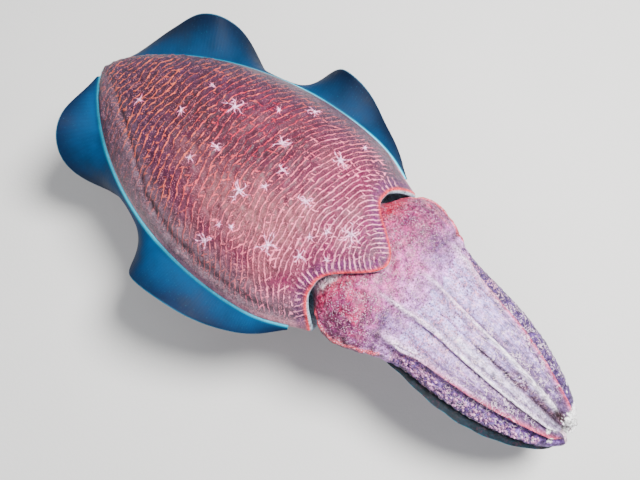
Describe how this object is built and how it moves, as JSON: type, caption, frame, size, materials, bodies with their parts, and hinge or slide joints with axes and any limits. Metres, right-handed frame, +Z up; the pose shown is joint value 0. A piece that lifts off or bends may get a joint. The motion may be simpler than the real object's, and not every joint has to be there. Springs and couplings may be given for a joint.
{
  "type": "pharaoh cuttlefish",
  "caption": "Life-size cuttlefish hovering with its arms held together and its fins rippling, held by upright rods on a flat oval stand.",
  "frame": {"origin": "centre of the flat underside of the stand's base", "axes": "+Z up; the head and arms point along -Y and the tail along +Y; the animal's left side is +X"},
  "size_m": [0.2279, 0.4412, 0.1278],
  "materials": {
    "mantle_skin": "painted skin, mauve brown with pale broken cross lines and star spots",
    "head_skin": "painted skin, rose and lilac, finely speckled",
    "arm_skin": "painted skin, pale lilac with pink ridges",
    "fin_skin": "translucent blue membrane with a bright line at its root",
    "siphon_skin": "pale smooth skin",
    "eye": "wet, dark, with a W-shaped pupil",
    "stand": "satin dark grey"
  },
  "bodies": {
    "root": {"arm_left_1": "arm_skin", "arm_left_2": "arm_skin", "arm_left_3": "arm_skin", "arm_left_4": "arm_skin", "arm_right_1": "arm_skin", "arm_right_2": "arm_skin", "arm_right_3": "arm_skin", "arm_right_4": "arm_skin", "eye_left": "eye", "eye_right": "eye", "fin_left_front": "fin_skin", "fin_left_middle": "fin_skin", "fin_left_rear": "fin_skin", "fin_right_front": "fin_skin", "fin_right_middle": "fin_skin", "fin_right_rear": "fin_skin", "head": "head_skin", "mantle": "mantle_skin", "siphon": "siphon_skin", "stand_base": "stand", "stand_rod_front": "stand", "stand_rod_rear": "stand"}
  },
  "joints": []
}
